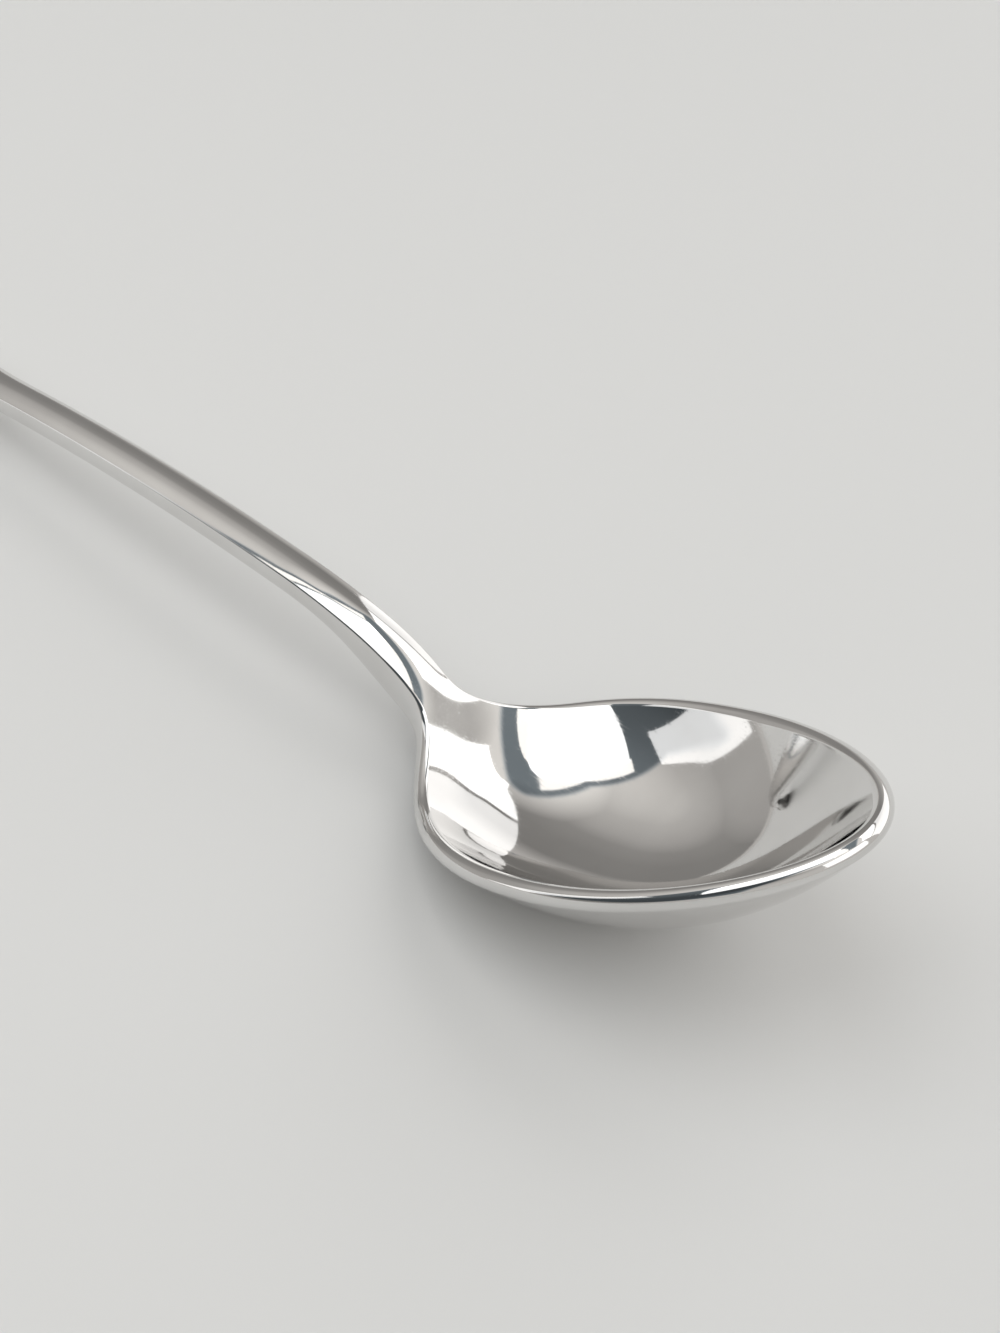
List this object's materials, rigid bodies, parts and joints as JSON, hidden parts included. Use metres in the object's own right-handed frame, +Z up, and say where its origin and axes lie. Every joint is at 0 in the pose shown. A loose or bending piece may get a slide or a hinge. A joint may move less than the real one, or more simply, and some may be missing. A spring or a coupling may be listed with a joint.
{
  "type": "teaspoon",
  "caption": "Polished metal teaspoon with a pitched egg-shaped bowl, a slim arched stem with a crowned top and a plain rounded handle end, lying on its back",
  "frame": {"origin": "on the table, under the middle of the spoon's length and width as it rests on the back of its bowl and the end of its handle", "axes": "+X from the handle's end towards the bowl's tip, +Y across the spoon, +Z up from the table"},
  "size_m": [0.1396, 0.027, 0.0214],
  "materials": {
    "polished_steel": "mirror polished stainless steel"
  },
  "bodies": {
    "root": {"bowl": "polished_steel", "handle": "polished_steel"}
  },
  "joints": []
}
